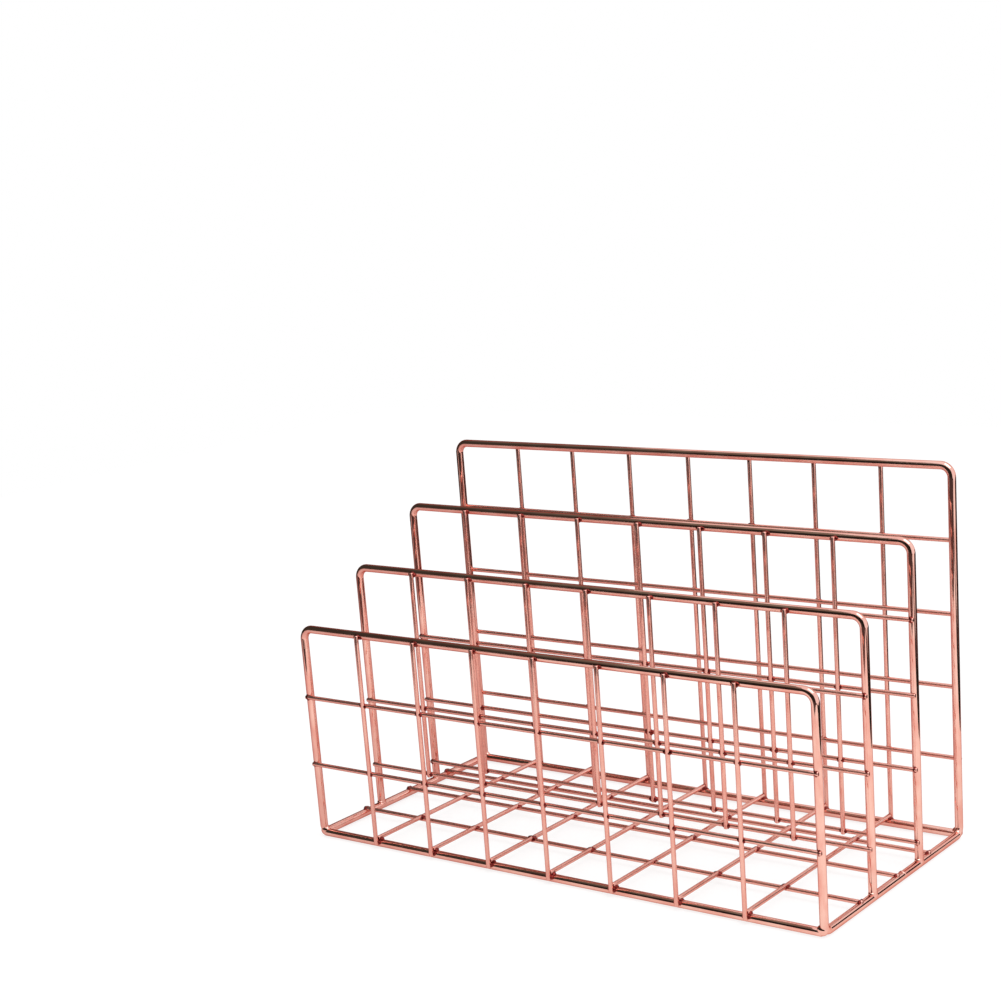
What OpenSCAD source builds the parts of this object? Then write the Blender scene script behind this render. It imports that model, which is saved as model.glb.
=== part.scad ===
// Desktop document shelf of plated steel wire: a front and a back panel, two dividers and a base.
// +X runs along the width, +Y from the front panel to the back panel and +Z up;
// the origin is on the table under the middle of the shelf.
// A panel is a bent frame of thick wire with rows of thin wire pressed into one face,
// and straight thin uprights pressed over the rows, so that they reach the top wire too.

/* [Overall] */
// Width over the outer faces of the frame
width = 320; // [260:1:380]
// Height of the front panel over its top wire
front_height = 121.5; // [105:0.5:140]
// Height of the first divider over its top wire
divider_1_height = 145; // [125:0.5:160]
// Height of the second divider over its top wire
divider_2_height = 170; // [150:0.5:190]
// Height of the back panel over its top wire
back_height = 199; // [175:0.5:230]

/* [Slots] */
// Front panel to first divider, from wire axis to wire axis
front_slot = 48.5; // [36:0.5:70]
// First divider to second divider
middle_slot = 50; // [36:0.5:70]
// Second divider to back panel
back_slot = 46.5; // [36:0.5:70]

/* [Wire] */
// Diameter of the thick wire of the frames and rails
frame_wire = 4.3; // [3:0.1:5]
// Diameter of the thin wire of the grids and the base
grid_wire = 2.4; // [1.6:0.1:2.8]
// Bend radius of the top corners, at the wire's axis
corner_radius = 6; // [5:0.5:12]
// Bend radius where the legs turn into the base, at the wire's axis
foot_radius = 4.5; // [4:0.5:9]

/* [Grid] */
// Uprights in each panel, spread evenly
upright_count = 7; // [5:1:9]
// Distance from a leg's axis to the upright next to it
side_mesh = 41; // [34:0.5:50]
// Distance from one row to the next, counted down from the top wire
row_pitch = 38.5; // [30:0.5:48]
// Least height of a panel's lowest row above the table
lowest_row = 12; // [9:0.5:20]
// Reach of a row or a cross wire past the axis of the leg or side wire that it is welded to
row_overhang = 1.5; // [0.5:0.1:3]
// Reach of a back row past the axis of the leg, where it stays hidden from the front
back_overhang = 0.3; // [0:0.1:3]
// Reach of an upright above the axis of the top wire
top_tail = 0.6; // [0:0.1:1.5]
// Reach of an upright below the axis of the rail
foot_tail = 0.4; // [0:0.1:1.5]
// Reach of a divider's upright below the axis of its lowest row
free_tail = 1.6; // [1.2:0.1:2.4]

/* [Base] */
// Distance of the first cross wire in front of the first divider
cross_lead = 13; // [6:0.5:20]
// Distance of the last cross wire behind the second divider
cross_lag = 10; // [6:0.5:20]
// Gap between the end of a floor wire and the upright that stands before it
floor_clearance = 0.4; // [0.2:0.1:1]
// Distance of a rail's end from the plane of the legs' axes
rail_setback = 1; // [0.5:0.1:2]
// Depth of the saddle in a divider's foot, which sits astride the side wire
saddle_depth = 1; // [0.5:0.1:1.8]

/* [Welds] */
// Depth that an upright or a floor wire is pressed into thick wire
weld_bite = 0.15; // [0.1:0.05:0.4]
// Film left between two wires that are welded together
weld_gap = 0.05; // [0.02:0.01:0.2]

/* [Hidden] */
$fn = 48;

// Axes of the frame, rails and dividers
half_span = (width - frame_wire) / 2;
depth = front_slot + middle_slot + back_slot;
front_y = -depth / 2;
back_y = depth / 2;
divider_1_y = front_y + front_slot;
divider_2_y = divider_1_y + middle_slot;
base_z = frame_wire / 2;
front_top = front_height - frame_wire / 2;
divider_1_top = divider_1_height - frame_wire / 2;
divider_2_top = divider_2_height - frame_wire / 2;
back_top = back_height - frame_wire / 2;

// Distance between the axes of a thin and a thick wire that just touch
touch = (frame_wire + grid_wire) / 2;
// Depth that a row or a cross wire is pressed in, so that straight wires over it reach the thick wire
weld_sink = (grid_wire + weld_bite) / 2;
// Offsets of the two layers of thin wire from the axes of the thick wire that carries them
row_offset = touch - weld_sink;
upright_offset = touch - weld_bite;

// Places along the base
cross_y = [
    divider_1_y - cross_lead,
    (divider_1_y + divider_2_y) / 2,
    divider_2_y + cross_lag
];
floor_tail = upright_offset - grid_wire / 2 - floor_clearance;

// Rows of each panel
front_rows = rows_below(front_top);
back_rows = rows_below(back_top);
divider_1_rows = rows_below(divider_1_top);
divider_2_rows = rows_below(divider_2_top);

plating = "#e6a595";
plating_shade = "#d88f80";

function numbered(stem, count) = [for (i = [1:count]) str(stem, i)];

// Number of rows that fit between a top wire and the least height of a row
function rows_below(top) = floor((top - lowest_row) / row_pitch);

// Height of a row, counted down from the top wire
function row_z(top, i) = top - i * row_pitch;

// Place of an upright or floor wire along the width
function column_x(i) = (half_span - side_mesh) * (2 * (i - 1) / (upright_count - 1) - 1);

// Arc of wire that leaves the origin along +Z and turns towards +X
module bend(angle, radius, diameter) {
    translate([radius, 0, 0])
        rotate([90, 0, 180])
            rotate_extrude(angle = angle)
                translate([radius, 0])
                    circle(d = diameter);
}

// Straight wire along X, centred on the width
module cross_bar(half_length, diameter) {
    rotate([0, 90, 0])
        cylinder(h = 2 * half_length, d = diameter, center = true);
}

// Upside-down U of thick wire: a top wire, two rounded corners and two legs down to the foot height
module arch(y, top, foot) {
    leg_top = top - corner_radius;
    translate([0, y, top])
        cross_bar(half_span - corner_radius, frame_wire);
    for (side = [-1, 1])
        translate([side * half_span, y, 0]) {
            translate([0, 0, foot])
                cylinder(h = leg_top - foot, d = frame_wire);
            translate([0, 0, leg_top])
                rotate([0, 0, 90 * (side + 1)])
                    bend(90, corner_radius, frame_wire);
        }
}

// Bends that turn the two legs of an outer panel into the base: face is -1 in front and 1 behind
module foot_bends(y, face, diameter) {
    for (side = [-1, 1])
        translate([side * half_span, y, base_z + foot_radius])
            rotate([0, 180, face * 90])
                bend(90, foot_radius, diameter);
}

// One closed loop: front top, legs, side wires, back legs and back top
module outer_frame() {
    side_length = depth - 2 * foot_radius;
    color(plating) {
        arch(front_y, front_top, base_z + foot_radius);
        arch(back_y, back_top, base_z + foot_radius);
        foot_bends(front_y, -1, frame_wire);
        foot_bends(back_y, 1, frame_wire);
        for (side = [-1, 1])
            translate([side * half_span, 0, base_z])
                rotate([90, 0, 0])
                    cylinder(h = side_length, d = frame_wire, center = true);
    }
}

// Thick wire between the bends under the legs, coped to fit against them
module rail(y, face) {
    color(plating)
        difference() {
            translate([0, y, base_z])
                cross_bar(half_span - rail_setback, frame_wire);
            foot_bends(y, face, frame_wire + 2 * weld_gap);
        }
}

// Frame of a divider, with a saddle in each foot for the side wire under it
module divider_frame(y, top) {
    color(plating)
        difference() {
            arch(y, top, frame_wire - saddle_depth);
            for (side = [-1, 1])
                translate([side * half_span, y, base_z])
                    rotate([90, 0, 0])
                        cylinder(h = 2 * frame_wire, d = frame_wire + 2 * weld_gap, center = true);
        }
}

// Short stretch of a wire along X, widened by the weld film, that cuts its saddle in a wire across it
module saddle(y, z, diameter) {
    translate([0, y, z])
        cross_bar(grid_wire, diameter + 2 * weld_gap);
}

// Row of thin wire on one face of a panel: face is -1 in front of the frame and 1 behind it
module row(y, top, i, face, overhang) {
    color(plating_shade)
        translate([0, y, row_z(top, i)])
            difference() {
                translate([0, face * row_offset, 0])
                    cross_bar(half_span + overhang, grid_wire);
                for (side = [-1, 1])
                    translate([side * half_span, 0, 0])
                        cylinder(h = 2 * grid_wire, d = frame_wire + 2 * weld_gap, center = true);
            }
}

// Upright of a panel, from its foot over the rows to the top wire, with a saddle for each wire under it
module upright(y, top, foot, rows, i, face) {
    color(plating_shade)
        translate([column_x(i), y, 0])
            difference() {
                translate([0, face * upright_offset, foot])
                    cylinder(h = top + top_tail - foot, d = grid_wire);
                saddle(0, top, frame_wire);
                for (r = [1:rows])
                    saddle(face * row_offset, row_z(top, r), grid_wire);
                children();
            }
}

// Upright of an outer panel, which stands on the rail
module outer_upright(y, top, rows, i, face) {
    upright(y, top, base_z - foot_tail, rows, i, face)
        saddle(0, base_z, frame_wire);
}

// Upright of a divider, free below the lowest row
module divider_upright(y, top, rows, i) {
    upright(y, top, row_z(top, rows) - free_tail, rows, i, -1);
}

// Thin wire across the base, pressed into the side wires
module cross_wire(i) {
    color(plating_shade)
        translate([0, cross_y[i - 1], base_z])
            difference() {
                translate([0, 0, row_offset])
                    cross_bar(half_span + row_overhang, grid_wire);
                for (side = [-1, 1])
                    translate([side * half_span, 0, 0])
                        rotate([90, 0, 0])
                            cylinder(h = 2 * grid_wire, d = frame_wire + 2 * weld_gap, center = true);
            }
}

// Thin wire from rail to rail, pressed over the cross wires
module floor_wire(i) {
    color(plating_shade)
        translate([column_x(i), 0, base_z])
            difference() {
                translate([0, 0, upright_offset])
                    rotate([90, 0, 0])
                        cylinder(h = depth + 2 * floor_tail, d = grid_wire, center = true);
                saddle(front_y, 0, frame_wire);
                saddle(back_y, 0, frame_wire);
                for (y = cross_y)
                    saddle(y, row_offset, grid_wire);
            }
}

outer_frame();
rail(front_y, -1);  // front_rail
rail(back_y, 1);  // back_rail
divider_frame(divider_1_y, divider_1_top);  // divider_1_frame
divider_frame(divider_2_y, divider_2_top);  // divider_2_frame
for (i = [1:upright_count]) {
    outer_upright(front_y, front_top, front_rows, i, -1);
    divider_upright(divider_1_y, divider_1_top, divider_1_rows, i);
    divider_upright(divider_2_y, divider_2_top, divider_2_rows, i);
    outer_upright(back_y, back_top, back_rows, i, 1);
    floor_wire(i);
}
for (i = [1:front_rows])
    row(front_y, front_top, i, -1, row_overhang);
for (i = [1:divider_1_rows])
    row(divider_1_y, divider_1_top, i, -1, row_overhang);
for (i = [1:divider_2_rows])
    row(divider_2_y, divider_2_top, i, -1, row_overhang);
for (i = [1:back_rows])
    row(back_y, back_top, i, 1, back_overhang);
for (i = [1:len(cross_y)])
    cross_wire(i);
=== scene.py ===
"""Dresses the wire document shelf: plated wires, weld beads, and the table, flags and lamp around it."""

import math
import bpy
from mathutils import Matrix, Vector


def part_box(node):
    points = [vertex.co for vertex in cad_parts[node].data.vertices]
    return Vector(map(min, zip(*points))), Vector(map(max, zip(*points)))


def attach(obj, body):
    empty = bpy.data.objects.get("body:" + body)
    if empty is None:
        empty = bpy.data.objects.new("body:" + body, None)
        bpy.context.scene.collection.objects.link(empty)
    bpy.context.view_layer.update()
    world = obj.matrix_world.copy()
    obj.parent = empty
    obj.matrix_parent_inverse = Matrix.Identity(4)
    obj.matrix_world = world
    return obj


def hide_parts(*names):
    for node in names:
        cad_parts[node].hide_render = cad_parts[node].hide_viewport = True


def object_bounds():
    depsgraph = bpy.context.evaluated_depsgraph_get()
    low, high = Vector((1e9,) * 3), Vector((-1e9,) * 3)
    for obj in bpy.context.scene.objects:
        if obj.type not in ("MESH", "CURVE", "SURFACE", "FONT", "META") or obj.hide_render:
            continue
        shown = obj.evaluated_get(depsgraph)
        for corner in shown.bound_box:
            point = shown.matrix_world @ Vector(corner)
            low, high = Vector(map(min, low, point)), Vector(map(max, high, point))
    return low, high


bl_info = {
    "name": "Wire Document Shelf",
    "version": (1, 0, 0),
    "blender": (4, 5, 0),
    "location": "3D View > Sidebar > Shelf",
    "description": "Builds the plated wires, the welds and the studio of a wire document shelf",
    "category": "Object",
}

import bmesh
import bpy
from bpy.props import FloatProperty, FloatVectorProperty, IntProperty, PointerProperty
from mathutils import Matrix, Quaternion, Vector, noise

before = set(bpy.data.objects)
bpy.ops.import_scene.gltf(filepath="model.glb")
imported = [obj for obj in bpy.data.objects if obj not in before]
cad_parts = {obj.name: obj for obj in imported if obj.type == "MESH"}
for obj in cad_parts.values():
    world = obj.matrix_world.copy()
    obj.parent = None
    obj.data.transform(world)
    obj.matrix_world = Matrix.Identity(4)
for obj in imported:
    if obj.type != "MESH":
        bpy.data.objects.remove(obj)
cad_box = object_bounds()

MM = 0.001
BODY = "root"
STRAIGHT = "straight_wire"
LEFT, RIGHT = -1, 1

OUTER_PANELS = ("front", "back")
DIVIDERS = ("divider_1", "divider_2")
PANELS = (*OUTER_PANELS, *DIVIDERS)


def linear(hex_colour):
    """Linear red, green and blue of an sRGB colour such as #E8A898."""
    parts = [int(hex_colour[i:i + 2], 16) / 255 for i in (1, 3, 5)]
    return [c / 12.92 if c <= 0.04045 else ((c + 0.055) / 1.055) ** 2.4 for c in parts]


# Places read from the frame


def low(node):
    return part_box(node)[0]


def high(node):
    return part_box(node)[1]


def middle(node):
    return (low(node) + high(node)) / 2


def thickness(node):
    return high(node).z - low(node).z


def nodes_of(stem):
    """The frame's nodes whose names are the stem and a number, in order."""
    return sorted(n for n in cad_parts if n.startswith(stem) and n[len(stem):].isdigit())


def frame_y(panel):
    """Where the thick wire of a panel stands, from front to back."""
    return middle(f"{panel}_frame").y if panel in DIVIDERS else middle(f"{panel}_rail").y


def top_z(panel):
    """Height of the axis of a panel's top wire."""
    rows = [middle(n).z for n in nodes_of(f"{panel}_row_")]
    return rows[0] + (rows[0] - rows[1])


def base_z():
    return middle("front_rail").z


def half_span():
    """From the middle of the shelf to the axis of a leg."""
    return high("outer_frame").x - thickness("front_rail") / 2


class ShelfWires(bpy.types.PropertyGroup):
    """Sizes of the wires."""

    frame_wire: FloatProperty(
        name="Frame wire", description="Diameter of the thick wire", unit="LENGTH",
        default=thickness("front_rail"),
    )
    grid_wire: FloatProperty(
        name="Grid wire", description="Diameter of the thin wire", unit="LENGTH",
        default=thickness("front_row_1"),
    )
    corner_radius: FloatProperty(
        name="Corner radius", description="Bend of the top corners, at the axis", unit="LENGTH",
        default=6 * MM,
    )
    foot_radius: FloatProperty(
        name="Foot radius", description="Bend under the outer legs, at the axis", unit="LENGTH",
        default=4.5 * MM,
    )
    end_rounding: FloatProperty(
        name="End rounding", description="Rounded edge of a cut wire end", unit="LENGTH",
        default=0.45 * MM,
    )
    sway: FloatProperty(
        name="Sway", description="How far a wire strays from its straight line", unit="LENGTH",
        default=0.09 * MM,
    )
    sway_length: FloatProperty(
        name="Sway length", description="Length over which a wire strays", unit="LENGTH", default=60 * MM
    )
    ring_pitch: FloatProperty(
        name="Ring pitch", description="Longest distance between two rings of a wire's mesh", unit="LENGTH",
        default=5 * MM,
    )
    frame_sides: IntProperty(
        name="Frame sides", description="Sides of the thick wire's mesh", default=32, min=8
    )
    grid_sides: IntProperty(
        name="Grid sides", description="Sides of the thin wire's mesh", default=24, min=8
    )


class ShelfWelds(bpy.types.PropertyGroup):
    """Sizes of the weld beads."""

    nugget_reach: FloatProperty(
        name="Nugget reach", description="Half width of the bead where two wires cross", unit="LENGTH",
        default=1.5 * MM,
    )
    nugget_flow: FloatProperty(
        name="Nugget flow", description="Half length of that bead along the lower wire", unit="LENGTH",
        default=2.5 * MM,
    )
    nugget_height: FloatProperty(
        name="Nugget height", description="Half height of the bead where two wires cross", unit="LENGTH",
        default=1.2 * MM,
    )
    collar_reach: FloatProperty(
        name="Collar reach", description="Half length of the bead around a divider's foot", unit="LENGTH",
        default=2.9 * MM,
    )
    seam_place: FloatProperty(
        name="Seam place", subtype="FACTOR", default=0.63, min=0, max=1,
        description="Where the outer frame is welded shut, from the first divider to the second",
    )
    seam_reach: FloatProperty(
        name="Seam reach", description="Half length of the ring at that seam", unit="LENGTH",
        default=1.8 * MM,
    )
    roughness: FloatProperty(
        name="Roughness", description="How uneven a bead is, as a share of its size", subtype="FACTOR",
        default=0.3, min=0, max=1,
    )


class ShelfPlating(bpy.types.PropertyGroup):
    """Colours of the plating."""

    bright: FloatVectorProperty(
        name="Bright", description="Plating where it is thick", subtype="COLOR",
        default=linear("#F9C5B8"),
    )
    warm: FloatVectorProperty(
        name="Warm", description="Plating where it is thin and redder", subtype="COLOR",
        default=linear("#EFAA9D"),
    )
    weld: FloatVectorProperty(
        name="Weld", description="Plating over a weld bead", subtype="COLOR", default=linear("#8A3530")
    )
    weld_dark: FloatVectorProperty(
        name="Weld scale", description="Burnt scale that shows through on a weld bead", subtype="COLOR",
        default=linear("#451518"),
    )
    frame_haze: FloatProperty(
        name="Frame haze", description="Roughness of the thick wire", subtype="FACTOR",
        default=0.055, min=0, max=1,
    )
    grid_haze: FloatProperty(
        name="Grid haze", description="Roughness of the thin wire", subtype="FACTOR",
        default=0.14, min=0, max=1,
    )
    grid_thinness: FloatProperty(
        name="Grid thinness", description="How thin the gold is on the thin wire at least",
        subtype="FACTOR", default=0.4, min=0, max=1,
    )
    grid_scatter: FloatProperty(
        name="Grid scatter", description="Share of light that the dull thin wire scatters",
        subtype="FACTOR", default=0.1, min=0, max=1,
    )
    edge: FloatVectorProperty(
        name="Edge tint", description="Plating seen at a flat angle", subtype="COLOR",
        default=linear("#D49C92"),
    )
    cut: FloatVectorProperty(
        name="Cut end", description="Plating on a sheared wire end", subtype="COLOR",
        default=linear("#6E443C"),
    )


class ShelfStudio(bpy.types.PropertyGroup):
    """Camera, table, cards and lamp."""

    eye: FloatVectorProperty(
        name="Camera", description="Where the camera stands", subtype="XYZ", unit="LENGTH",
        default=(0.5882, -0.8285, 0.3755),
    )
    azimuth: FloatProperty(
        name="Azimuth", description="Turn of the view, to the right of the front", subtype="ANGLE",
        default=math.radians(37.11),
    )
    elevation: FloatProperty(
        name="Elevation", description="How far the camera looks down", subtype="ANGLE",
        default=math.radians(14.55),
    )
    roll: FloatProperty(
        name="Roll", description="Tilt of the picture", subtype="ANGLE", default=math.radians(-4.13)
    )
    lens: FloatProperty(
        name="Lens", description="Focal length on 36 mm film, in millimetres", default=71.67
    )
    shift_x: FloatProperty(
        name="Shift X", description="Sideways framing of the shelf in the picture", default=-0.05985
    )
    shift_y: FloatProperty(
        name="Shift Y", description="Upward framing of the shelf in the picture", default=0.1399
    )
    table_half: FloatProperty(
        name="Table half", description="Half width of the table", unit="LENGTH", default=1.3
    )
    paper: FloatVectorProperty(
        name="Paper", description="Paper on the table, as the lamps light it", subtype="COLOR",
        default=linear("#898989"),
    )
    paper_glow: FloatProperty(
        name="Paper glow", description="Share of white that the camera sees besides", subtype="FACTOR",
        default=0.78, min=0, max=1,
    )
    # Painted reflection: colours that the paper glows with for the plating only, white near the lamp and a
    # painted dim shade far from it
    painted_paper_near: FloatVectorProperty(
        name="Near paper", description="What the plating mirrors besides, near the lamp", subtype="COLOR",
        default=linear("#E2DED7"),
    )
    painted_paper_far: FloatVectorProperty(
        name="Far paper", description="What the plating mirrors besides, far from the lamp",
        subtype="COLOR", default=linear("#A8807C"),
    )
    # The colours below are of the flags' painted glow, which stands in for the dim room that the plating
    # mirrors; they are not lit cloth
    cool_painted_glow: FloatVectorProperty(
        name="Cool cloth", description="Cloth of the flag at the left and of the black flags",
        subtype="COLOR", default=linear("#FAFFE8"),
    )
    warm_painted_glow: FloatVectorProperty(
        name="Warm cloth", description="Cloth of the flags on the floor, apart from the black one",
        subtype="COLOR", default=linear("#FFDAD6"),
    )
    reddish_painted_glow: FloatVectorProperty(
        name="Rust cloth", description="Cloth of the flag at the back left", subtype="COLOR",
        default=linear("#FFBEB0"),
    )
    lamp_power: FloatProperty(
        name="Lamp power", description="Power of the soft box above", subtype="POWER", default=2.4
    )
    lamp_size: FloatProperty(
        name="Lamp size", description="Width of the soft box", unit="LENGTH", default=0.55
    )
    lamp_place: FloatVectorProperty(
        name="Lamp place", description="Where the soft box hangs", subtype="XYZ", unit="LENGTH",
        default=(0.45, -0.05, 0.95),
    )


# Materials


def add_node(tree, kind, inputs=None, **settings):
    """Adds one node, sets it up, and fills its inputs with values or with links from other nodes."""
    node = tree.nodes.new(kind)
    for name, value in settings.items():
        setattr(node, name, value)
    for socket, value in (inputs or {}).items():
        if isinstance(value, bpy.types.NodeSocket):
            tree.links.new(value, node.inputs[socket])
        else:
            node.inputs[socket].default_value = value
    return node


def new_material(name):
    """An empty node material and its tree."""
    material = bpy.data.materials.new(name)
    material.use_nodes = True
    material.node_tree.nodes.clear()
    return material, material.node_tree


def opaque(colour):
    return (*colour, 1)


def per_metre(size):
    """Noise scale whose features have that size in metres."""
    return 1 / size


def rose_gold_plate(name, plating, cloudiness, thinness, scatter):
    """Rose gold flash over bright nickel on drawn steel wire: a mirror that is a little cloudy and warmer
    where the gold is thin, with the faint lines that the drawing die leaves along the wire."""
    # Clouds of thicker and thinner gold, about 14 mm long and 5 mm wide
    cloud_width, cloud_stretch = 5 * MM, (1, 1, 0.35)
    # Die lines are about 0.02 mm wide, and drawn 0.3 mm wide here so that they show
    line_width, line_stretch = 0.3 * MM, (1, 1, 0.01)
    # Waves that straightening leaves in the surface, about 6 mm long and 0.01 mm high
    wave_length, wave_stretch, wave_height = 6 * MM, (0.5, 0.5, 1), 0.01 * MM
    # Height of the die lines, as a share of the waves' height
    line_height = 0.06
    # Roughness between and on the die lines, as shares of the cloudiness
    clear, hazy = 0.7, 1.5

    material, tree = new_material(name)
    along = add_node(tree, "ShaderNodeAttribute", attribute_name=STRAIGHT).outputs["Vector"]
    clouds_at = add_node(tree, "ShaderNodeVectorMath", {0: along, 1: cloud_stretch}, operation="MULTIPLY")
    clouds = add_node(
        tree, "ShaderNodeTexNoise",
        {"Vector": clouds_at.outputs[0], "Scale": per_metre(cloud_width), "Detail": 3.0, "Roughness": 0.55},
    )
    lines_at = add_node(tree, "ShaderNodeVectorMath", {0: along, 1: line_stretch}, operation="MULTIPLY")
    lines = add_node(
        tree, "ShaderNodeTexNoise",
        {"Vector": lines_at.outputs[0], "Scale": per_metre(line_width), "Detail": 2.0, "Roughness": 0.5},
    )
    waves_at = add_node(tree, "ShaderNodeVectorMath", {0: along, 1: wave_stretch}, operation="MULTIPLY")
    waves = add_node(
        tree, "ShaderNodeTexNoise",
        {"Vector": waves_at.outputs[0], "Scale": per_metre(wave_length), "Detail": 1.0},
    )
    thin_gold = add_node(
        tree, "ShaderNodeMapRange",
        {
            "Value": clouds.outputs["Fac"], "From Min": 0.38, "From Max": 0.68,
            "To Min": thinness, "To Max": 1.0,
        },
    )
    tone = add_node(
        tree, "ShaderNodeMix",
        {"Factor": thin_gold.outputs[0], "A": opaque(plating.bright), "B": opaque(plating.warm)},
        data_type="RGBA",
    )
    haze = add_node(
        tree, "ShaderNodeMapRange",
        {
            "Value": lines.outputs["Fac"], "From Min": 0.3, "From Max": 0.75,
            "To Min": cloudiness * clear, "To Max": cloudiness * hazy,
        },
    )
    relief = add_node(
        tree, "ShaderNodeMath",
        {0: lines.outputs["Fac"], 1: line_height, 2: waves.outputs["Fac"]}, operation="MULTIPLY_ADD",
    )
    bump = add_node(
        tree, "ShaderNodeBump", {"Height": relief.outputs[0], "Strength": 1.0, "Distance": wave_height}
    )
    shader = add_node(
        tree, "ShaderNodeBsdfPrincipled",
        {
            "Base Color": tone.outputs["Result"], "Metallic": 1.0 - scatter, "Roughness": haze.outputs[0],
            "Normal": bump.outputs[0], "Specular Tint": opaque(plating.edge),
        },
    )
    add_node(tree, "ShaderNodeOutputMaterial", {"Surface": shader.outputs[0]})
    return material


def sheared_end(name, plating):
    """Plated wire end as the shear left it: darker and duller than the wire, with torn grain."""
    grain_size, grain_height = 0.4 * MM, 0.08 * MM
    material, tree = new_material(name)
    place = add_node(tree, "ShaderNodeTexCoord").outputs["Object"]
    grain = add_node(
        tree, "ShaderNodeTexNoise", {"Vector": place, "Scale": per_metre(grain_size), "Detail": 4.0}
    ).outputs["Fac"]
    tone = add_node(
        tree, "ShaderNodeMix", {"Factor": grain, "A": opaque(plating.cut), "B": opaque(plating.weld)},
        data_type="RGBA",
    )
    haze = add_node(tree, "ShaderNodeMapRange", {"Value": grain, "To Min": 0.18, "To Max": 0.45})
    bump = add_node(tree, "ShaderNodeBump", {"Height": grain, "Strength": 0.6, "Distance": grain_height})
    shader = add_node(
        tree, "ShaderNodeBsdfPrincipled",
        {
            "Base Color": tone.outputs["Result"], "Metallic": 1.0, "Roughness": haze.outputs[0],
            "Normal": bump.outputs[0],
        },
    )
    add_node(tree, "ShaderNodeOutputMaterial", {"Surface": shader.outputs[0]})
    return material


def plated_weld(name, plating):
    """Spot weld under rose gold: pinched, rippled metal, redder than the wire, with burnt scale that shows
    through."""
    ripple_pitch, ripple_height, scale_size = 0.6 * MM, 0.15 * MM, 0.9 * MM
    material, tree = new_material(name)
    place = add_node(tree, "ShaderNodeTexCoord").outputs["Object"]
    ripple = add_node(
        tree, "ShaderNodeTexNoise", {"Vector": place, "Scale": per_metre(ripple_pitch), "Detail": 3.0}
    ).outputs["Fac"]
    scale = add_node(
        tree, "ShaderNodeTexNoise", {"Vector": place, "Scale": per_metre(scale_size), "Detail": 2.0}
    ).outputs["Fac"]
    burnt = add_node(
        tree, "ShaderNodeMapRange",
        {"Value": scale, "From Min": 0.5, "From Max": 0.72, "To Min": 0.0, "To Max": 0.8},
    )
    tone = add_node(
        tree, "ShaderNodeMix",
        {"Factor": burnt.outputs[0], "A": opaque(plating.weld), "B": opaque(plating.weld_dark)},
        data_type="RGBA",
    )
    haze = add_node(tree, "ShaderNodeMapRange", {"Value": ripple, "To Min": 0.2, "To Max": 0.45})
    bump = add_node(tree, "ShaderNodeBump", {"Height": ripple, "Strength": 0.7, "Distance": ripple_height})
    shader = add_node(
        tree, "ShaderNodeBsdfPrincipled",
        {
            "Base Color": tone.outputs["Result"], "Metallic": 1.0, "Roughness": haze.outputs[0],
            "Normal": bump.outputs[0],
        },
    )
    add_node(tree, "ShaderNodeOutputMaterial", {"Surface": shader.outputs[0]})
    return material


def white_paper(name, studio):
    """Uncoated white paper: matt, and bright enough to be the plain white that the camera sees. Its fibres
    make it a little uneven. For the plating it also glows with a painted reflection: white at the front
    right, near the lamp, and a painted dimmer, pinker shade towards the back left, in place of the lamp's
    real falloff."""
    fibre_length, fibre_height = 2 * MM, 0.1 * MM
    # The painted reflection grows brighter in this direction, towards the lamp, between these two distances
    # from the shelf's middle
    towards_lamp, far, close = (0.75, -0.66, 0), -0.20, 0.20
    material, tree = new_material(name)
    path = add_node(tree, "ShaderNodeLightPath")
    place = add_node(tree, "ShaderNodeTexCoord").outputs["Object"]
    fibres = add_node(
        tree, "ShaderNodeTexNoise", {"Vector": place, "Scale": per_metre(fibre_length), "Detail": 2.0}
    ).outputs["Fac"]
    tooth = add_node(tree, "ShaderNodeBump", {"Height": fibres, "Strength": 0.1, "Distance": fibre_height})
    diffuse = add_node(
        tree, "ShaderNodeBsdfDiffuse", {"Color": opaque(studio.paper), "Normal": tooth.outputs[0]}
    )
    distance = add_node(
        tree, "ShaderNodeVectorMath", {0: place, 1: towards_lamp}, operation="DOT_PRODUCT"
    ).outputs["Value"]
    near = add_node(
        tree, "ShaderNodeMapRange",
        {"Value": distance, "From Min": far, "From Max": close, "To Min": 0.0, "To Max": 1.0},
    )
    graded = add_node(
        tree, "ShaderNodeMix",
        {"Factor": near.outputs[0], "A": opaque(studio.painted_paper_far), "B": opaque(studio.painted_paper_near)},
        data_type="RGBA",
    )
    mirrored = add_node(
        tree, "ShaderNodeMath", {0: path.outputs["Is Glossy Ray"], 1: path.outputs["Is Transmission Ray"]},
        operation="MAXIMUM",
    )
    # Painted reflection: the paper glows with this graded colour for glossy and transmission rays only
    painted_reflection = add_node(
        tree, "ShaderNodeEmission", {"Color": graded.outputs["Result"], "Strength": mirrored.outputs[0]}
    )
    glow = add_node(
        tree, "ShaderNodeMath", {0: path.outputs["Is Camera Ray"], 1: studio.paper_glow},
        operation="MULTIPLY",
    )
    white = add_node(tree, "ShaderNodeEmission", {"Strength": glow.outputs[0]})
    lit = add_node(tree, "ShaderNodeAddShader", {0: diffuse.outputs[0], 1: white.outputs[0]})
    both = add_node(tree, "ShaderNodeAddShader", {0: lit.outputs[0], 1: painted_reflection.outputs[0]})
    add_node(tree, "ShaderNodeOutputMaterial", {"Surface": both.outputs[0]})
    return material


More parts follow.
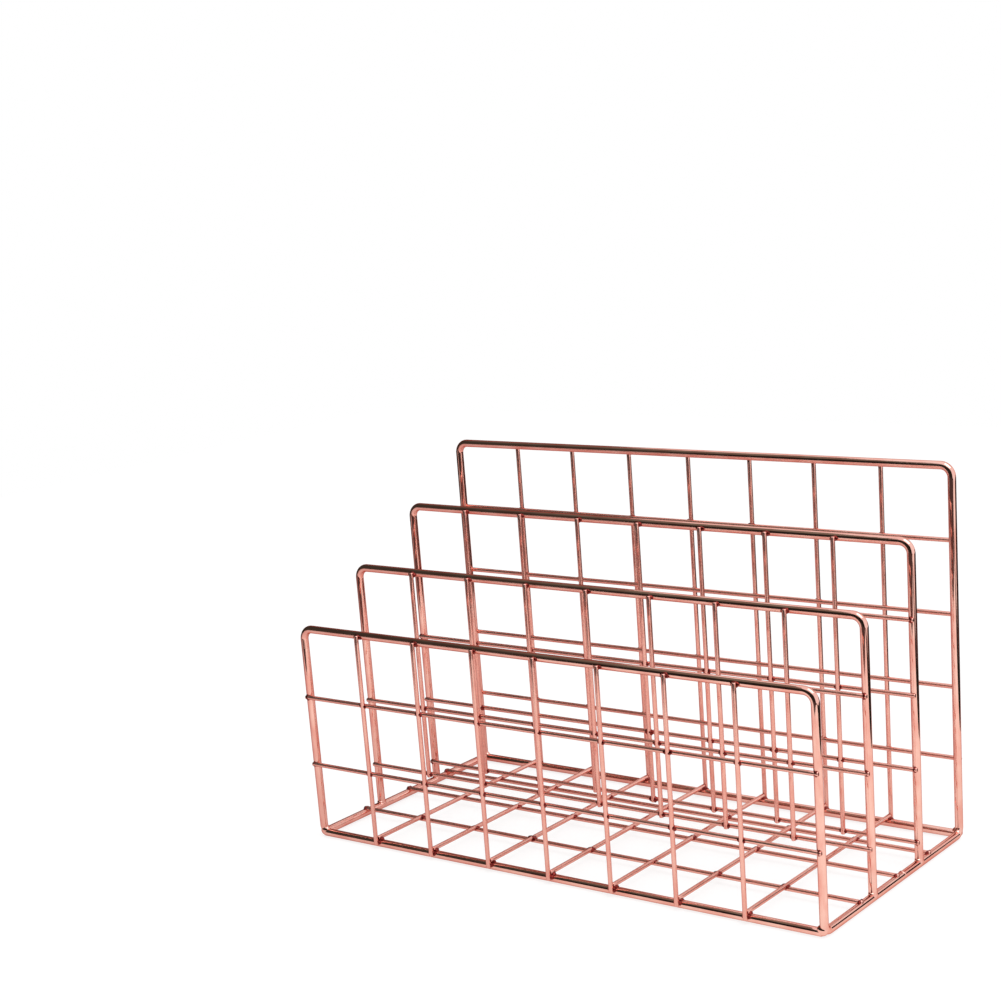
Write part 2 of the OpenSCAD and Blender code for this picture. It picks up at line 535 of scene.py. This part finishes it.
def painted_flag_glow(name, colour, dim, light, foot=0.0, top=1.0):
    """Stands for the matt woven cloth of a studio flag, but glows with painted light: dim at its foot and
    brighter at the top, painted where more light would reach a real flag."""
    material, tree = new_material(name)
    place = add_node(tree, "ShaderNodeTexCoord").outputs["Object"]
    up = add_node(tree, "ShaderNodeSeparateXYZ", {0: place}).outputs["Z"]
    # Painted shade: the glow's strength, dim at the foot and brighter at the top
    shade = add_node(
        tree, "ShaderNodeMapRange",
        {"Value": up, "From Min": foot, "From Max": top, "To Min": dim, "To Max": light},
    )
    glow = add_node(tree, "ShaderNodeEmission", {"Color": opaque(colour), "Strength": shade.outputs[0]})
    add_node(tree, "ShaderNodeOutputMaterial", {"Surface": glow.outputs[0]})
    return material


def made_once(maker, name, *settings, **more):
    """The material of that name, which its maker makes the first time that it is asked for."""
    return bpy.data.materials.get(name) or maker(name, *settings, **more)


def plate_of(plating, thick):
    """Plating of the thick wire, or of the thin wire, where it is thinner, duller and scatters some
    light."""
    if thick:
        name, looks = "rose_gold_plated_thick_wire", (plating.frame_haze, 0, 0)
    else:
        name = "rose_gold_plated_thin_wire"
        looks = (plating.grid_haze, plating.grid_thinness, plating.grid_scatter)
    return made_once(rose_gold_plate, name, plating, *looks)


# Wires

# Largest turn between two rings of a bend
ARC_STEP = math.radians(7.5)
# Start of the noise, which would differ in each run without it
NOISE_SEED = 1
# Steps through the noise from one wire to the next, so that each strays in its own way
SEED_STEPS = (7.3, 3.1, 5.7)
# Share of a wire at each end over which its weld holds it straighter
HELD_SHARE = 0.25
# Rings that round a cut end
END_RINGS = 4


def bent(corners, radii, closed=False):
    """Path through the corners, with each turn made into an arc of its own radius."""
    path = []
    for i, (corner, radius) in enumerate(zip(corners, radii)):
        if not closed and i in (0, len(corners) - 1):
            path.append(corner)
            continue
        inward = (corner - corners[i - 1]).normalized()
        outward = (corners[(i + 1) % len(corners)] - corner).normalized()
        turn = inward.angle(outward)
        start = corner - inward * radius * math.tan(turn / 2)
        centre = corner + (outward - inward).normalized() * radius / math.cos(turn / 2)
        steps = max(2, math.ceil(turn / ARC_STEP))
        for k in range(steps + 1):
            path.append(centre + Quaternion(inward.cross(outward), turn * k / steps) @ (start - centre))
    return path


def spaced(path, pitch, closed=False):
    """The path with points added so that no two are further apart than the pitch."""
    found = []
    following = path[1:] + path[:1] if closed else path[1:]
    for a, b in zip(path, following):
        count = max(1, math.ceil((b - a).length / pitch))
        found += [a.lerp(b, k / count) for k in range(count)]
    return found if closed else found + [path[-1]]


def swayed(path, radius, wires, seed):
    """The path as a real wire runs: it strays a little from the straight line, less at its ends, and
    never out of the frame's box."""
    noise.seed_set(NOISE_SEED)
    offset = Vector([seed * step for step in SEED_STEPS])
    count = len(path) - 1
    strayed = []
    for i, point in enumerate(path):
        hold = min(1, i / count / HELD_SHARE, (count - i) / count / HELD_SHARE)
        point = point + noise.noise_vector(point / wires.sway_length + offset) * wires.sway * hold
        strayed.append(Vector(min(max(c, a + radius), b - radius) for c, a, b in zip(point, *cad_box)))
    return strayed


def rings_of(path, radius, rounding, closed):
    """Rings that sweep a round wire along the path. Each holds its centre, two radial directions, its
    radius and the length so far."""
    count = len(path)
    tangents = []
    for i in range(count):
        before = path[i - 1] if closed or i else path[0]
        after = path[(i + 1) % count] if closed or i < count - 1 else path[-1]
        tangents.append((after - before).normalized())
    side = tangents[0].orthogonal().normalized()
    rings, run = [], 0
    for i, (point, tangent) in enumerate(zip(path, tangents)):
        if i:
            side = tangents[i - 1].rotation_difference(tangent) @ side
            run += (point - path[i - 1]).length
        rings.append((point, side.copy(), tangent.cross(side), radius, run))
    if closed:
        last = tangents[-1].rotation_difference(tangents[0]) @ side
        slip = math.atan2(last.dot(rings[0][2]), last.dot(rings[0][1]))
        for i, (point, side, across, radius, run) in enumerate(rings):
            turn = Quaternion(tangents[i], -slip * i / count)
            rings[i] = (point, turn @ side, turn @ across, radius, run)
        return rings
    heads, tails = [], []
    for k in range(1, END_RINGS + 1):
        bend = math.radians(90 * k / END_RINGS)
        shrunk, out = radius - rounding * (1 - math.cos(bend)), rounding * math.sin(bend)
        for end, ring, direction in ((heads, rings[0], -tangents[0]), (tails, rings[-1], tangents[-1])):
            centre, side, across, _, run = ring
            run += direction.dot(tangents[0]) * out
            end.append((centre + direction * out, side, across, shrunk, run))
    return heads[::-1] + rings + tails


def trimmed(path, length):
    """The path without that length at each end."""
    ends = list(path)
    ends[0] = path[0] + (path[1] - path[0]).normalized() * length
    ends[-1] = path[-1] + (path[-2] - path[-1]).normalized() * length
    return ends


def wire_mesh(name, rings, sides, seed, skin, cut):
    """Mesh over the rings, with the finish of the skin and that of the cut ends. A loop has no cut ends,
    and None for their finish. Each point keeps its place on the straight wire, for the patterns of the
    plating."""
    closed = cut is None
    points, straight = [], []
    for centre, side, across, radius, run in rings:
        for j in range(sides):
            angle = math.tau * j / sides
            x, y = radius * math.cos(angle), radius * math.sin(angle)
            points.append(centre + side * x + across * y)
            straight.append((x + seed, y - seed, run))
    faces, ends = [], []
    following = range(1, len(rings) + 1) if closed else range(1, len(rings))
    for i in following:
        a, b = (i - 1) * sides, (i % len(rings)) * sides
        for j in range(sides):
            k = (j + 1) % sides
            faces.append((a + j, a + k, b + k, b + j))
    if not closed:
        ends = [tuple(reversed(range(sides))), tuple(range(len(points) - sides, len(points)))]
    mesh = bpy.data.meshes.new(name)
    mesh.from_pydata(points, [], faces + ends)
    mesh.attributes.new(STRAIGHT, "FLOAT_VECTOR", "POINT").data.foreach_set(
        "vector", [c for place in straight for c in place]
    )
    mesh.polygons.foreach_set("use_smooth", [True] * len(faces) + [False] * len(ends))
    mesh.materials.append(skin)
    if not closed:
        mesh.materials.append(cut)
    mesh.polygons.foreach_set("material_index", [0] * len(faces) + [1] * len(ends))
    mesh.update()
    return mesh


def make_wire(node, corners, radii, thick, closed=False):
    """Sweeps one wire, gives it its finish, and puts it in the place of its node."""
    scene = bpy.context.scene
    wires, plating = scene.shelf_wires, scene.shelf_plating
    if thick:
        radius, sides = wires.frame_wire / 2, wires.frame_sides
    else:
        radius, sides = wires.grid_wire / 2, wires.grid_sides
    seed = sorted(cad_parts).index(node) + 1
    path = bent(corners, radii, closed)
    if not closed:
        path = trimmed(path, wires.end_rounding)
    path = swayed(spaced(path, wires.ring_pitch, closed), radius, wires, seed)
    rings = rings_of(path, radius, wires.end_rounding, closed)
    skin = plate_of(plating, thick)
    cut = None if closed else made_once(sheared_end, "rose_gold_plated_sheared_end", plating)
    mesh = wire_mesh(f"{node}_wire", rings, sides, seed, skin, cut)
    piece = bpy.data.objects.new(mesh.name, mesh)
    scene.collection.objects.link(piece)
    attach(piece, BODY)
    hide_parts(node)


def make_straight(node, thick):
    """A straight wire along the longest side of its node's box."""
    along = max(range(3), key=lambda i: high(node)[i] - low(node)[i])
    ends = [middle(node), middle(node)]
    ends[0][along], ends[1][along] = low(node)[along], high(node)[along]
    make_wire(node, ends, (0, 0), thick)


class SHELF_OT_outer_frame(bpy.types.Operator):
    """Bend the closed loop of thick wire that makes the front, the sides of the base and the back"""

    bl_idname = "shelf.outer_frame"
    bl_label = "Outer Frame"

    def execute(self, context):
        wires = context.scene.shelf_wires
        x, foot = half_span(), base_z()
        front, back = frame_y("front"), frame_y("back")
        corners = [
            (-x, front, top_z("front")), (x, front, top_z("front")), (x, front, foot), (x, back, foot),
            (x, back, top_z("back")), (-x, back, top_z("back")), (-x, back, foot), (-x, front, foot),
        ]
        high_bend, low_bend = wires.corner_radius, wires.foot_radius
        radii = [high_bend, high_bend, low_bend, low_bend] * 2
        make_wire("outer_frame", [Vector(c) for c in corners], radii, thick=True, closed=True)
        return {"FINISHED"}


class SHELF_OT_divider_frames(bpy.types.Operator):
    """Bend the upside-down U of thick wire of each divider"""

    bl_idname = "shelf.divider_frames"
    bl_label = "Divider Frames"

    def execute(self, context):
        bend = context.scene.shelf_wires.corner_radius
        for panel in DIVIDERS:
            node = f"{panel}_frame"
            x, y, foot, top = half_span(), frame_y(panel), low(node).z, top_z(panel)
            corners = [(-x, y, foot), (-x, y, top), (x, y, top), (x, y, foot)]
            make_wire(node, [Vector(c) for c in corners], (0, bend, bend, 0), thick=True)
        return {"FINISHED"}


class SHELF_OT_rails(bpy.types.Operator):
    """Lay the thick rails at the front and the back of the base"""

    bl_idname = "shelf.rails"
    bl_label = "Rails"

    def execute(self, context):
        for panel in OUTER_PANELS:
            make_straight(f"{panel}_rail", thick=True)
        return {"FINISHED"}


class SHELF_OT_rows(bpy.types.Operator):
    """Lay the thin rows of all panels"""

    bl_idname = "shelf.rows"
    bl_label = "Rows"

    def execute(self, context):
        for panel in PANELS:
            for node in nodes_of(f"{panel}_row_"):
                make_straight(node, thick=False)
        return {"FINISHED"}


class SHELF_OT_uprights(bpy.types.Operator):
    """Stand the thin uprights of all panels over their rows"""

    bl_idname = "shelf.uprights"
    bl_label = "Uprights"

    def execute(self, context):
        for panel in PANELS:
            for node in nodes_of(f"{panel}_upright_"):
                make_straight(node, thick=False)
        return {"FINISHED"}


class SHELF_OT_base_wires(bpy.types.Operator):
    """Lay the thin cross wires of the base, and the floor wires over them"""

    bl_idname = "shelf.base_wires"
    bl_label = "Base Wires"

    def execute(self, context):
        for stem in ("cross_wire_", "floor_wire_"):
            for node in nodes_of(stem):
                make_straight(node, thick=False)
        return {"FINISHED"}


# Welds

BEAD_SUBDIVISIONS = 3
# Distance in millimetres over which the sizes of beads change
SIZE_DRIFT = 3
# Lumps across half a bead
LUMPS = 1.7
# Where a bead sits between the axes of two wires that cross, from the lower one to the one on top
BEAD_PLACE = 0.7
# The beads at a top wire lie below its axis and those at a rail above it, by these shares of the diameter
TOP_DROP, RAIL_RISE = 1 / 8, 1 / 4
# Width and height of a bead of the base, as shares of a panel's
BASE_WIDTH, BASE_HEIGHT = 1.25, 1.15
# Half width of the collar over a divider's foot, as a share of the thick wire
COLLAR_WIDTH = 0.5
# The saddle below it: half width, half height and centre as shares of the thick wire, and half length as
# a share of the collar's
SADDLE_WIDTH, SADDLE_HEIGHT, SADDLE_CENTRE, SADDLE_LENGTH = 0.56, 0.5, 0.62, 1.2
# Half sizes and centre of the fillet at a rail's end, as shares of the thick wire
KNUCKLE, KNUCKLE_CENTRE = (0.68, 0.525, 0.65), 0.72
# Half girth of the ring at the seam, and how far it lies inward and up, as shares of the thick wire
SEAM_GIRTH, SEAM_SHIFT = 0.545, 0.03


def add_bead(bm, centre, sizes, roughness):
    """Adds one weld bead with those half sizes along X, Y and Z, as uneven as the roughness makes it, and
    no further out than the frame's box."""
    offset = Vector(centre) / MM
    grown = 1 + roughness * noise.noise(offset / SIZE_DRIFT)
    for vertex in bmesh.ops.create_icosphere(bm, subdivisions=BEAD_SUBDIVISIONS, radius=1)["verts"]:
        swell = grown + roughness * noise.noise(vertex.co * LUMPS + offset)
        spot = [m + c * s * swell for m, c, s in zip(centre, vertex.co, sizes)]
        vertex.co = [min(max(c, a), b) for c, a, b in zip(spot, *cad_box)]


def make_welds(name, beads, finish, roughness):
    """One piece that holds the beads of a panel or of the base."""
    bm = bmesh.new()
    for centre, sizes in beads:
        add_bead(bm, centre, sizes, roughness)
    mesh = bpy.data.meshes.new(name)
    bm.to_mesh(mesh)
    bm.free()
    mesh.polygons.foreach_set("use_smooth", [True] * len(mesh.polygons))
    mesh.materials.append(finish)
    piece = bpy.data.objects.new(name, mesh)
    bpy.context.scene.collection.objects.link(piece)
    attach(piece, BODY)


def on_both_legs(y, z):
    """Places on the axes of the left and the right leg."""
    return [(side * half_span(), y, z) for side in (LEFT, RIGHT)]


def on_columns(y, z):
    """Places in line with the uprights."""
    return [(middle(node).x, y, z) for node in nodes_of("front_upright_")]


def between(lower, upper):
    """Where a bead sits between the axes of two wires that cross: nearer to the one on top."""
    return lower + BEAD_PLACE * (upper - lower)


def spot_weld(plating):
    return made_once(plated_weld, "rose_gold_plated_spot_weld", plating)


class SHELF_OT_panel_welds(bpy.types.Operator):
    """Bead the crossings of each panel, and the places where its wires meet the frame"""

    bl_idname = "shelf.panel_welds"
    bl_label = "Panel Welds"

    def execute(self, context):
        wires, welds = context.scene.shelf_wires, context.scene.shelf_welds
        nugget = (welds.nugget_flow, welds.nugget_height, welds.nugget_reach)
        stub = (welds.nugget_height, welds.nugget_height, welds.nugget_reach)
        finish = spot_weld(context.scene.shelf_plating)
        for panel in PANELS:
            row_y, upright_y = middle(f"{panel}_row_1").y, middle(f"{panel}_upright_1").y
            contact = upright_y + math.copysign(wires.grid_wire / 2, frame_y(panel) - upright_y)
            places, stubs = on_columns(contact, top_z(panel) - wires.frame_wire * TOP_DROP), []
            for node in nodes_of(f"{panel}_row_"):
                places += on_columns(between(row_y, upright_y), middle(node).z)
                stubs += on_both_legs((row_y + contact) / 2, middle(node).z)
            if panel in OUTER_PANELS:
                places += on_columns(contact, base_z() + wires.frame_wire * RAIL_RISE)
            beads = [(place, nugget) for place in places] + [(place, stub) for place in stubs]
            make_welds(f"{panel}_welds", beads, finish, welds.roughness)
        return {"FINISHED"}


class SHELF_OT_base_welds(bpy.types.Operator):
    """Bead the crossings of the base, the feet of the dividers, the ends of the rails and the seam"""

    bl_idname = "shelf.base_welds"
    bl_label = "Base Welds"

    def execute(self, context):
        wires, welds = context.scene.shelf_wires, context.scene.shelf_welds
        plating = context.scene.shelf_plating
        over_side = base_z() + wires.frame_wire / 2
        make_welds("base_welds", self.crossings(welds, over_side), spot_weld(plating), welds.roughness)
        fillets = self.feet(wires, welds, over_side) + self.rail_ends(wires) + self.seam(wires, welds)
        make_welds("fillet_welds", fillets, plate_of(plating, thick=True), roughness=0)
        return {"FINISHED"}

    def crossings(self, welds, over_side):
        """Beads where the thin wires of the base cross each other and the thick wire."""
        cross_z, floor_z = middle("cross_wire_1").z, middle("floor_wire_1").z
        nugget = (welds.nugget_flow, welds.nugget_reach * BASE_WIDTH, welds.nugget_height * BASE_HEIGHT)
        stub = (welds.nugget_height, welds.nugget_flow, welds.nugget_height)
        places, stubs = [], []
        for node in nodes_of("cross_wire_"):
            places += on_columns(middle(node).y, between(cross_z, floor_z))
            stubs += on_both_legs(middle(node).y, (cross_z + over_side) / 2)
        for panel in OUTER_PANELS:
            places += on_columns(frame_y(panel), over_side)
        return [(place, nugget) for place in places] + [(place, stub) for place in stubs]

    def feet(self, wires, welds, over_side):
        """A collar and a saddle at each foot of the dividers."""
        thick, reach = wires.frame_wire, welds.collar_reach
        collar = (thick * COLLAR_WIDTH, reach, welds.nugget_height * BASE_HEIGHT)
        saddle = (thick * SADDLE_WIDTH, reach * SADDLE_LENGTH, thick * SADDLE_HEIGHT)
        fillets = []
        for panel in DIVIDERS:
            y = frame_y(panel)
            fillets += [(place, collar) for place in on_both_legs(y, over_side)]
            fillets += [(place, saddle) for place in on_both_legs(y, thick * SADDLE_CENTRE)]
        return fillets

    def rail_ends(self, wires):
        """A fillet at each end of the rails."""
        knuckle = [wires.frame_wire * share for share in KNUCKLE]
        end, z = high("front_rail").x, wires.frame_wire * KNUCKLE_CENTRE
        places = [(side * end, frame_y(panel), z) for panel in OUTER_PANELS for side in (LEFT, RIGHT)]
        return [(place, knuckle) for place in places]

    def seam(self, wires, welds):
        """The ring where the ends of the outer frame's wire are welded together, on its right side."""
        first, second = (frame_y(panel) for panel in DIVIDERS)
        girth, shift = wires.frame_wire * SEAM_GIRTH, wires.frame_wire * SEAM_SHIFT
        y = first + welds.seam_place * (second - first)
        return [((half_span() - shift, y, base_z() + shift), (girth, welds.seam_reach, girth))]


# Studio

FILM_WIDTH = 36
# Below the feet of the shelf lie the flags on the floor, and under them the paper
FLAG_DROP, PAPER_DROP = 0.1 * MM, 0.2 * MM
# The wall of flags at the left, where its painted glow changes colour, and the wall behind the camera
LEFT_WALL_X, PAINTED_GLOW_CHANGE_Y, FRONT_WALL_Y = -0.75, 0.25, -1.05


def add_card(name, corners, finish, flag=True):
    """A flat sheet through the corners. A flag is one that only the plating sees."""
    mesh = bpy.data.meshes.new(name)
    mesh.from_pydata(corners, [], [tuple(range(len(corners)))])
    mesh.materials.append(finish)
    card = bpy.data.objects.new(name, mesh)
    if flag:
        card.visible_camera = card.visible_diffuse = card.visible_shadow = False
    bpy.context.scene.collection.objects.link(card)


def rectangle(left, front, right, back):
    """Outline of a rectangle, seen from above."""
    return [(left, front), (right, front), (right, back), (left, back)]


def lying(outline, z):
    """Corners of a sheet that lies at a height."""
    return [(*corner, z) for corner in outline]


def standing(foot_a, foot_b, bottom, top):
    """Corners of an upright sheet over the line between two feet."""
    return [(*foot_a, bottom), (*foot_b, bottom), (*foot_b, top), (*foot_a, top)]


class SHELF_OT_studio(bpy.types.Operator):
    """Set up the camera, the white table, the dark flags, the soft box and the white room"""

    bl_idname = "shelf.studio"
    bl_label = "Studio"

    def execute(self, context):
        studio = context.scene.shelf_studio
        self.add_camera(context.scene, studio)
        self.add_table(studio)
        self.add_flags(studio)
        self.add_lamp(context.scene, studio)
        self.add_room(context.scene)
        context.scene.view_settings.view_transform = "Standard"
        return {"FINISHED"}

    def add_camera(self, scene, studio):
        camera = bpy.data.cameras.new("camera")
        camera.lens, camera.sensor_width = studio.lens, FILM_WIDTH
        camera.shift_x, camera.shift_y = studio.shift_x, studio.shift_y
        camera.clip_start = 0.01
        holder = bpy.data.objects.new("camera", camera)
        turn = Matrix.Rotation(studio.azimuth, 4, "Z")
        tilt = Matrix.Rotation(math.pi / 2 - studio.elevation, 4, "X")
        roll = Matrix.Rotation(studio.roll, 4, "Z")
        holder.matrix_world = Matrix.Translation(studio.eye) @ turn @ tilt @ roll
        scene.collection.objects.link(holder)
        scene.camera = holder

    def add_table(self, studio):
        half = studio.table_half
        paper = made_once(white_paper, "white_paper", studio)
        corners = lying(rectangle(-half, -half, half, half), cad_box[0].z - PAPER_DROP)
        add_card("table", corners, paper, flag=False)

    def add_flags(self, studio):
        """Flags that draw the dark bands on the bright wires as painted reflections: sheets that only the
        plating sees, each glowing with its own painted dim or grey light in place of a dark room. They are
        walls at the left and behind the camera, sheets on the floor on all sides, a low one at the back
        right and a grey one over the back."""
        cool, warm = studio.cool_painted_glow, studio.warm_painted_glow
        left = made_once(painted_flag_glow, "dark_cloth_left", cool, dim=0.05, light=0.22, foot=0.8, top=1.35)
        black = made_once(painted_flag_glow, "dark_cloth_black", cool, dim=0.02, light=0.03)
        purple = made_once(painted_flag_glow, "dark_cloth_floor", warm, dim=0.3, light=0.3)
        brown = made_once(painted_flag_glow, "dark_cloth_front", warm, dim=0.08, light=0.08)
        rust = made_once(painted_flag_glow, "dark_cloth_back", studio.reddish_painted_glow, dim=0.26, light=0.30, top=1.2)
        grey = made_once(painted_flag_glow, "dark_cloth_above", (1, 1, 1), dim=0.8, light=0.8)

        left_end, left_turn = (LEFT_WALL_X, -1.3), (LEFT_WALL_X, PAINTED_GLOW_CHANGE_Y)
        add_card("flag_left", standing(left_end, left_turn, 0.02, 1.8), left)
        back_left = [
            (*left_turn, 0.02), (LEFT_WALL_X, 1.1, 0.02), (LEFT_WALL_X, 1.1, 0.75), (*left_turn, 1.36),
        ]
        add_card("flag_back_left", back_left, rust)
        front_wall = standing((LEFT_WALL_X, FRONT_WALL_Y), (1.3, FRONT_WALL_Y), 0, 1.1)
        add_card("flag_front", front_wall, black)

        floor = cad_box[0].z - FLAG_DROP
        before = rectangle(-0.6, -1.25, 1.25, -0.43)
        beside_left = [
            (-1.25, -0.42), (-0.52, -0.42), (-0.47, -0.20),
            (LEFT_WALL_X, 0.18), (LEFT_WALL_X, 1.25), (-1.25, 1.25),
        ]
        beside_right = [(0.7225, -0.41), (0.856, -0.317), (0.111, 0.749), (-0.0225, 0.656)]
        behind = [
            (0.60, 0.05), (0.86, 0.18), (1.28, 0.50), (1.28, 1.28),
            (-0.25, 1.28), (-0.0225, 0.656), (0.111, 0.749),
        ]
        add_card("flag_floor_front", lying(before, floor), brown)
        add_card("flag_floor_left", lying(beside_left, floor), purple)
        add_card("flag_floor_right", lying(beside_right, floor), black)
        add_card("flag_floor_back", lying(behind, floor), brown)
        add_card("flag_back_right", standing((0.432, 0.290), (0.346, 0.413), 0.03, 0.20), black)
        add_card("flag_above", lying(rectangle(-1.0, 0.8, 0.6, 1.9), 1.0), grey)

    def add_lamp(self, scene, studio):
        lamp = bpy.data.lights.new("soft_box", "AREA")
        lamp.shape, lamp.size = "SQUARE", studio.lamp_size
        lamp.energy = studio.lamp_power
        holder = bpy.data.objects.new("soft_box", lamp)
        holder.location = studio.lamp_place
        holder.rotation_euler = holder.location.to_track_quat("Z", "Y").to_euler()
        holder.visible_camera = False
        scene.collection.objects.link(holder)

    def add_room(self, scene):
        """Plain white all round, for the camera and for the plating."""
        world = bpy.data.worlds.new("white_room")
        scene.world = world
        world.use_nodes = True
        tree = world.node_tree
        tree.nodes.clear()
        white = add_node(tree, "ShaderNodeBackground", {"Color": (1, 1, 1, 1), "Strength": 1.0})
        add_node(tree, "ShaderNodeOutputWorld", {"Surface": white.outputs[0]})


class SHELF_PT_builder(bpy.types.Panel):
    """Settings and pieces of the shelf"""

    bl_label = "Document Shelf"
    bl_idname = "SHELF_PT_builder"
    bl_space_type = "VIEW_3D"
    bl_region_type = "UI"
    bl_category = "Shelf"

    def draw(self, context):
        for name in SETTINGS:
            box = self.layout.box()
            settings = getattr(context.scene, name)
            for field in settings.__annotations__:
                box.prop(settings, field)
        for operator in OPERATORS:
            self.layout.operator(operator.bl_idname)


SETTINGS = {
    "shelf_wires": ShelfWires,
    "shelf_welds": ShelfWelds,
    "shelf_plating": ShelfPlating,
    "shelf_studio": ShelfStudio,
}
OPERATORS = (
    SHELF_OT_outer_frame,
    SHELF_OT_divider_frames,
    SHELF_OT_rails,
    SHELF_OT_rows,
    SHELF_OT_uprights,
    SHELF_OT_base_wires,
    SHELF_OT_panel_welds,
    SHELF_OT_base_welds,
    SHELF_OT_studio,
)


def register():
    for group in (*SETTINGS.values(), *OPERATORS, SHELF_PT_builder):
        bpy.utils.register_class(group)
    for name, group in SETTINGS.items():
        setattr(bpy.types.Scene, name, PointerProperty(type=group))


def unregister():
    for name in SETTINGS:
        delattr(bpy.types.Scene, name)
    for group in (SHELF_PT_builder, *reversed(OPERATORS), *reversed(SETTINGS.values())):
        bpy.utils.unregister_class(group)


def main():
    register()
    bpy.ops.shelf.outer_frame()
    bpy.ops.shelf.divider_frames()
    bpy.ops.shelf.rails()
    bpy.ops.shelf.rows()
    bpy.ops.shelf.uprights()
    bpy.ops.shelf.base_wires()
    bpy.ops.shelf.panel_welds()
    bpy.ops.shelf.base_welds()
    bpy.ops.shelf.studio()


if __name__ == "__main__":
    main()
